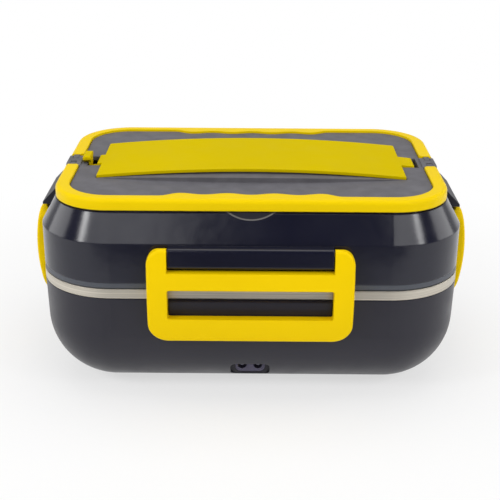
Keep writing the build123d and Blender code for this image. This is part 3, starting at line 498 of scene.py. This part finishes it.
class LUNCHBOX_OT_heating_parts(bpy.types.Operator):
    """Finish the heater, its safety parts, the inlet and the small hardware"""

    bl_idname = "lunchbox.heating_parts"
    bl_label = "Heating parts"

    def execute(self, context):
        finish = context.scene.lunchbox_finishes
        hardware = plated_steel("plated_hardware", (0.60, 0.60, 0.62), 0.28)
        screws = ("base_screws", "lid_screws", "panel_screws", "clamp_screws")
        for node in (*screws, "handle_pins", "cover_pin", "heater_clamp", "thermostat"):
            finish_node(node, hardware)
        aluminium = drawn_steel("heater_aluminium", (0.78, 0.79, 0.80), 0.38)
        for node in ("heater_plate", "ptc_heaters"):
            finish_node(node, aluminium)
        finish_node("thermal_fuse", moulded("fuse_ceramic", (0.75, 0.73, 0.68), 0.35, edge=0.0002))
        finish_node("heater_leads", rubbery("lead_insulation", (0.42, 0.02, 0.015), 0.45, edge=0.0002))
        finish_node("power_inlet", moulded("inlet_plastic", tuple(finish.inlet_colour), 0.4, edge=0.0003))
        finish_node("inlet_pins", plated_steel("pin_nickel", (0.20, 0.20, 0.24), 0.5))
        return {"FINISHED"}


class LUNCHBOX_OT_studio(bpy.types.Operator):
    """Set up the floor, the lamps, the world and the camera"""

    bl_idname = "lunchbox.studio"
    bl_label = "Studio"

    def execute(self, context):
        studio = context.scene.lunchbox_studio
        self.add_floor(studio)
        self.add_world(context.scene, studio)
        self.add_lamps(studio)
        self.add_camera(context.scene, studio)
        context.scene.view_settings.view_transform = "Standard"
        return {"FINISHED"}

    def add_floor(self, studio):
        """A wide pale floor that turns plain white away from the box and keeps its shadow."""
        bpy.ops.object.select_all(action="DESELECT")
        bpy.ops.mesh.primitive_plane_add(size=12.0, location=(0.0, 0.0, 0.0))
        floor = bpy.context.object
        floor.name = "floor"
        material, tree, shader = new_material("floor_paper")
        place = object_coordinates(tree)
        pale = tuple(studio.floor_colour)
        fibres = two_tone(tree, noise(tree, place, 300.0), shade(pale, 0.99), pale)
        tree.links.new(fibres, shader.inputs["Base Color"])
        shader.inputs["Roughness"].default_value = 0.9
        shader.inputs["Specular IOR Level"].default_value = 0.1
        near_box, far_out = 0.12, 0.32
        away = remap(tree, measure(tree, "LENGTH", place), studio.floor_white, 1.0, near_box, far_out)
        white = even_light(tree, "ShaderNodeEmission").outputs[0]
        paper = blend_shaders(
            tree, combine(tree, "MULTIPLY", away, seen_directly(tree)), shader.outputs[0], white
        )
        dim = even_light(tree, "ShaderNodeEmission", (0.10, 0.10, 0.11)).outputs[0]
        surface = blend_shaders(tree, self.dim_front(tree, place), paper, dim)
        tree.links.new(surface, tree.nodes["Material Output"].inputs["Surface"])
        floor.data.materials.append(material)

    def dim_front(self, tree, place):
        """One in reflections of the floor in front of the box, where the room is dim."""
        across = coordinate(tree, both_sides(tree, place), "X")
        depth = coordinate(tree, place, "Y")
        dim = None
        # a narrow patch close to the box and a wide one further ahead, each from full to none
        for full_x, none_x, none_y, full_y in ((0.04, 0.11, -0.15, -0.22), (0.22, 0.30, -0.270, -0.277)):
            middle = remap(tree, across, 1.0, 0.0, full_x, none_x)
            ahead = remap(tree, depth, 1.0, 0.0, full_y, none_y)
            patch = combine(tree, "MULTIPLY", middle, ahead)
            dim = patch if dim is None else combine(tree, "MAXIMUM", dim, patch)
        path = tree.nodes.new("ShaderNodeLightPath")
        return combine(tree, "MULTIPLY", dim, path.outputs["Is Glossy Ray"])

    def add_world(self, scene, studio):
        """White for the lens, a room that is dim in front for reflections, and an even light for the rest."""
        world = bpy.data.worlds.new("studio_world")
        scene.world = world
        world.use_nodes = True
        tree = world.node_tree
        tree.nodes.clear()
        out = tree.nodes.new("ShaderNodeOutputWorld")
        direction = tree.nodes.new("ShaderNodeTexCoord").outputs["Generated"]
        depth = remap(tree, coordinate(tree, direction, "Y"), 0.0, 1.0, -1.0, 1.0)
        front_of_room, back_of_room = (0.03, 0.03, 0.04), (0.5, 0.5, 0.5)
        room = two_tone(tree, depth, front_of_room, back_of_room, 0.3, 0.68)
        path = tree.nodes.new("ShaderNodeLightPath")
        seen = even_light(tree, "ShaderNodeBackground")
        backdrop = blend_colour(tree, path.outputs["Is Camera Ray"], room, (1.0, 1.0, 1.0))
        tree.links.new(backdrop, seen.inputs["Color"])
        ambient = even_light(tree, "ShaderNodeBackground", strength=studio.ambient)
        light = blend_shaders(tree, seen_directly(tree), ambient.outputs[0], seen.outputs[0])
        tree.links.new(light, out.inputs["Surface"])

    def add_lamps(self, studio):
        """A softbox overhead, and on each side a broad and a narrow one in front and one past the end."""
        self.add_lamp("top_softbox", (0.0, 0.1, 1.1), (0.0, 0.0, 0.08), (1.2, 0.9), studio.top_lamp)
        for side, front_x, front_width, side_gain in ((-1.0, 0.49, 0.86, 1.22), (1.0, 0.60, 0.70, 0.8)):
            self.add_lamp(
                "front_softbox", place=(side * front_x, -0.88, 0.82), aim=(0.0, 0.0, 0.07),
                size=(front_width, 0.34), power=studio.front_lamp,
            )
            self.add_lamp(
                "side_softbox", place=(side * 0.84, -0.61, 0.70), aim=(side * 0.08, 0.0, 0.09),
                size=(0.16, 0.36), power=side_gain * studio.side_lamp,
            )
            self.add_lamp(
                "end_softbox", place=(side * 1.1, 0.15, 0.38), aim=(side * 0.1, 0.0, 0.09),
                size=(0.66, 0.4), power=studio.end_lamp,
            )

    def add_lamp(self, name, place, aim, size, power):
        """A rectangular softbox that points at the box."""
        lamp = bpy.data.lights.new(name, "AREA")
        lamp.shape = "RECTANGLE"
        lamp.size, lamp.size_y = size
        lamp.energy = power
        rig = bpy.data.objects.new(name, lamp)
        bpy.context.scene.collection.objects.link(rig)
        rig.location = place
        rig.rotation_euler = (Vector(aim) - Vector(place)).to_track_quat("-Z", "Y").to_euler()

    def add_camera(self, scene, studio):
        """The camera at the photograph's angle."""
        data = bpy.data.cameras.new("camera")
        data.sensor_width = 36.0
        data.lens = studio.lens
        data.clip_start = 0.01
        rig = bpy.data.objects.new("camera", data)
        scene.collection.objects.link(rig)
        place = Matrix.Translation((studio.camera_side, -studio.camera_distance, studio.camera_height))
        yaw = Matrix.Rotation(studio.camera_yaw, 4, "Z")
        pitch = Matrix.Rotation(math.pi / 2 - studio.camera_pitch, 4, "X")
        roll = Matrix.Rotation(studio.camera_roll, 4, "Z")
        rig.matrix_world = place @ yaw @ pitch @ roll
        scene.camera = rig


class LUNCHBOX_PT_panel(bpy.types.Panel):
    """Lists the settings and the steps"""

    bl_idname = "LUNCHBOX_PT_panel"
    bl_label = "Lunch box"
    bl_space_type = "VIEW_3D"
    bl_region_type = "UI"
    bl_category = "Lunch box"

    def draw(self, context):
        layout = self.layout
        for group in (context.scene.lunchbox_finishes, context.scene.lunchbox_studio):
            column = layout.column()
            for setting in group.bl_rna.properties:
                if not setting.is_readonly and setting.identifier not in {"name", "rna_type"}:
                    column.prop(group, setting.identifier)
        for step in steps:
            layout.operator(step.bl_idname)


steps = (
    LUNCHBOX_OT_dark_mouldings,
    LUNCHBOX_OT_top_panel,
    LUNCHBOX_OT_yellow_mouldings,
    LUNCHBOX_OT_container_and_seal,
    LUNCHBOX_OT_heating_parts,
    LUNCHBOX_OT_studio,
)
classes = (LunchBoxFinishes, LunchBoxStudio, *steps, LUNCHBOX_PT_panel)


def register():
    """Makes the settings, the steps and the panel known to Blender."""
    for entry in classes:
        bpy.utils.register_class(entry)
    bpy.types.Scene.lunchbox_finishes = bpy.props.PointerProperty(type=LunchBoxFinishes)
    bpy.types.Scene.lunchbox_studio = bpy.props.PointerProperty(type=LunchBoxStudio)


def unregister():
    """Takes them away again."""
    del bpy.types.Scene.lunchbox_studio
    del bpy.types.Scene.lunchbox_finishes
    for entry in reversed(classes):
        bpy.utils.unregister_class(entry)


def main():
    """Dresses the box step by step."""
    register()
    bpy.ops.lunchbox.dark_mouldings()
    bpy.ops.lunchbox.top_panel()
    bpy.ops.lunchbox.yellow_mouldings()
    bpy.ops.lunchbox.container_and_seal()
    bpy.ops.lunchbox.heating_parts()
    bpy.ops.lunchbox.studio()


if __name__ == "__main__":
    main()
